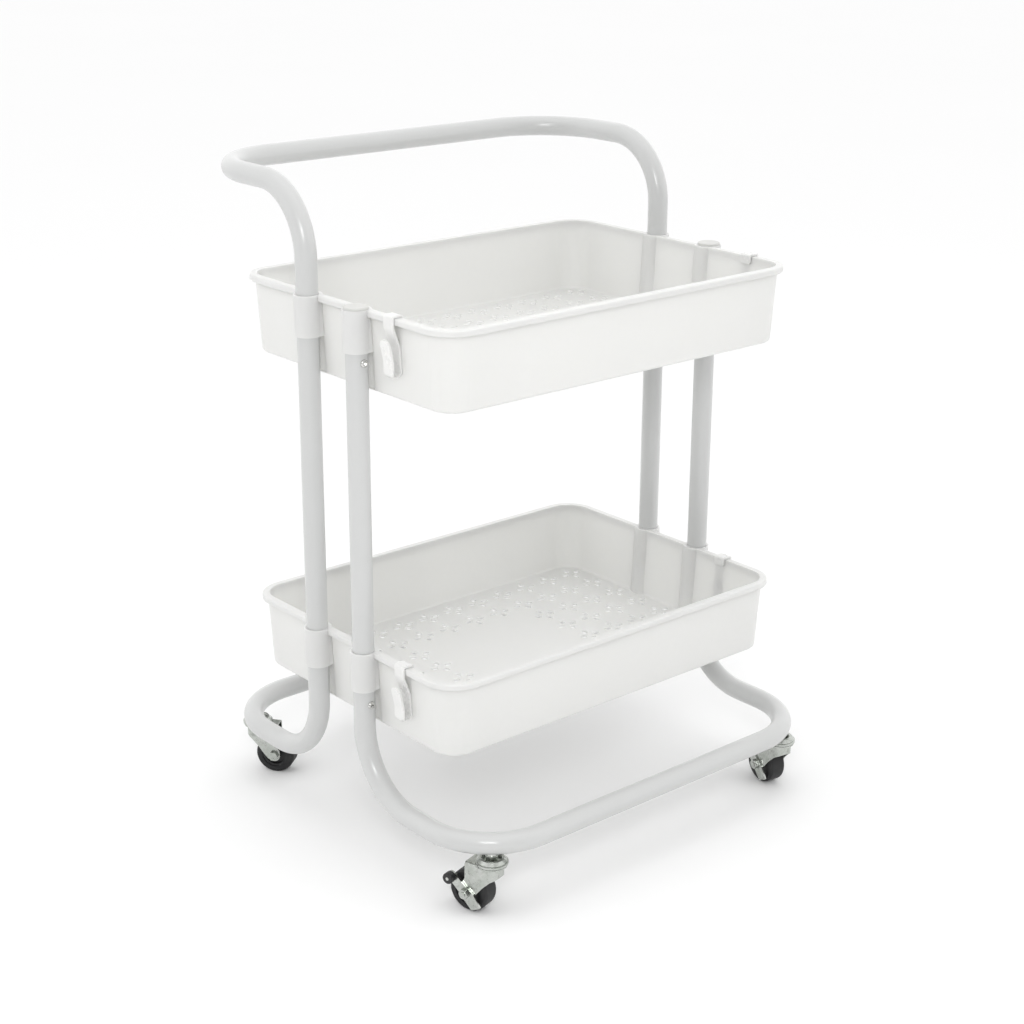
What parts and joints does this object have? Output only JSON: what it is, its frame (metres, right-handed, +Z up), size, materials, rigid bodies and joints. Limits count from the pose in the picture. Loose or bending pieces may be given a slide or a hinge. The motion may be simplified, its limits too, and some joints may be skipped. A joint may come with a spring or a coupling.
{
  "type": "rolling utility cart",
  "caption": "Two-tier rolling utility cart: rounded baskets with perforated floors on a bent-tube frame with a push handle, clip-on side hooks and swivel casters.",
  "frame": {"origin": "on the floor, under the centre of the cart's bounding box", "axes": "+X to the right along the long side seen from the front, +Y to the rear (the push handle's side), +Z up"},
  "size_m": [0.5706, 0.532, 0.794],
  "materials": {
    "basket_plastic": "satin warm white",
    "tube_paint": "powder-coated white",
    "cap_plastic": "light grey",
    "hook_plastic": "satin white",
    "zinc": "zinc plated, semi-bright",
    "screw_steel": "bright plated",
    "wheel_core": "black moulded",
    "wheel_tread": "black"
  },
  "bodies": {
    "frame": {"upper_basket": "basket_plastic", "lower_basket": "basket_plastic", "handle_tube": "tube_paint", "base_front_tube": "tube_paint", "base_rear_tube": "tube_paint", "front_left_post": "tube_paint", "front_right_post": "tube_paint", "rear_left_post": "tube_paint", "rear_right_post": "tube_paint", "left_post_cap": "cap_plastic", "right_post_cap": "cap_plastic", "stem_bushes": "zinc", "upper_joint_screws": "screw_steel", "lower_joint_screws": "screw_steel", "front_left_stem": "zinc", "front_left_top_race": "zinc", "front_right_stem": "zinc", "front_right_top_race": "zinc", "rear_left_stem": "zinc", "rear_left_top_race": "zinc", "rear_right_stem": "zinc", "rear_right_top_race": "zinc"},
    "front_left_swivel": {"front_left_fork": "zinc", "front_left_balls": "screw_steel", "front_left_axle_bolt": "zinc", "front_left_axle_nut": "zinc"},
    "front_left_wheel": {"front_left_wheel_hub": "wheel_core", "front_left_tyre": "wheel_tread"},
    "front_left_brake": {"front_left_brake_pedal": "zinc", "front_left_pedal_roller": "wheel_core"},
    "front_right_swivel": {"front_right_fork": "zinc", "front_right_balls": "screw_steel", "front_right_axle_bolt": "zinc", "front_right_axle_nut": "zinc"},
    "front_right_wheel": {"front_right_wheel_hub": "wheel_core", "front_right_tyre": "wheel_tread"},
    "front_right_brake": {"front_right_brake_pedal": "zinc", "front_right_pedal_roller": "wheel_core"},
    "rear_left_swivel": {"rear_left_fork": "zinc", "rear_left_balls": "screw_steel", "rear_left_axle_bolt": "zinc", "rear_left_axle_nut": "zinc"},
    "rear_left_wheel": {"rear_left_wheel_hub": "wheel_core", "rear_left_tyre": "wheel_tread"},
    "rear_right_swivel": {"rear_right_fork": "zinc", "rear_right_balls": "screw_steel", "rear_right_axle_bolt": "zinc", "rear_right_axle_nut": "zinc"},
    "rear_right_wheel": {"rear_right_wheel_hub": "wheel_core", "rear_right_tyre": "wheel_tread"},
    "upper_left_hook_body": {"upper_left_hook": "hook_plastic"},
    "upper_right_hook_body": {"upper_right_hook": "hook_plastic"},
    "lower_left_hook_body": {"lower_left_hook": "hook_plastic"},
    "lower_right_hook_body": {"lower_right_hook": "hook_plastic"}
  },
  "joints": [
    {"name": "front_left_swivel_turn", "type": "hinge", "parent": "frame", "child": "front_left_swivel", "pos_m": [-0.23716, -0.23459, 0.064], "axis": [0, 0, 1], "continuous": true},
    {"name": "front_left_wheel_spin", "type": "hinge", "parent": "front_left_swivel", "child": "front_left_wheel", "pos_m": [-0.24405, -0.21055, 0.025], "axis": [-0.9613, -0.2756, 0], "continuous": true},
    {"name": "front_left_brake_press", "type": "hinge", "parent": "front_left_swivel", "child": "front_left_brake", "pos_m": [-0.24405, -0.21055, 0.025], "axis": [-0.9613, -0.2756, 0], "range_deg": [0, 20]},
    {"name": "front_right_swivel_turn", "type": "hinge", "parent": "frame", "child": "front_right_swivel", "pos_m": [0.23716, -0.23459, 0.064], "axis": [0, 0, 1], "continuous": true},
    {"name": "front_right_wheel_spin", "type": "hinge", "parent": "front_right_swivel", "child": "front_right_wheel", "pos_m": [0.2415, -0.20997, 0.025], "axis": [-0.9848, 0.1736, 0], "continuous": true},
    {"name": "front_right_brake_press", "type": "hinge", "parent": "front_right_swivel", "child": "front_right_brake", "pos_m": [0.2415, -0.20997, 0.025], "axis": [-0.9848, 0.1736, 0], "range_deg": [0, 20]},
    {"name": "rear_left_swivel_turn", "type": "hinge", "parent": "frame", "child": "rear_left_swivel", "pos_m": [-0.23716, 0.23459, 0.064], "axis": [0, 0, 1], "continuous": true},
    {"name": "rear_left_wheel_spin", "type": "hinge", "parent": "rear_left_swivel", "child": "rear_left_wheel", "pos_m": [-0.22211, 0.21462, 0.025], "axis": [0.7986, 0.6018, 0], "continuous": true},
    {"name": "rear_right_swivel_turn", "type": "hinge", "parent": "frame", "child": "rear_right_swivel", "pos_m": [0.23716, 0.23459, 0.064], "axis": [0, 0, 1], "continuous": true},
    {"name": "rear_right_wheel_spin", "type": "hinge", "parent": "rear_right_swivel", "child": "rear_right_wheel", "pos_m": [0.22779, 0.21141, 0.025], "axis": [0.9272, -0.3746, 0], "continuous": true},
    {"name": "upper_left_hook_slide", "type": "slide", "parent": "frame", "child": "upper_left_hook_body", "axis": [0, 1, 0], "range_m": [-0.02, 0.02]},
    {"name": "upper_right_hook_slide", "type": "slide", "parent": "frame", "child": "upper_right_hook_body", "axis": [0, 1, 0], "range_m": [-0.02, 0.02]},
    {"name": "lower_left_hook_slide", "type": "slide", "parent": "frame", "child": "lower_left_hook_body", "axis": [0, 1, 0], "range_m": [-0.02, 0.02]},
    {"name": "lower_right_hook_slide", "type": "slide", "parent": "frame", "child": "lower_right_hook_body", "axis": [0, 1, 0], "range_m": [-0.02, 0.02]}
  ]
}
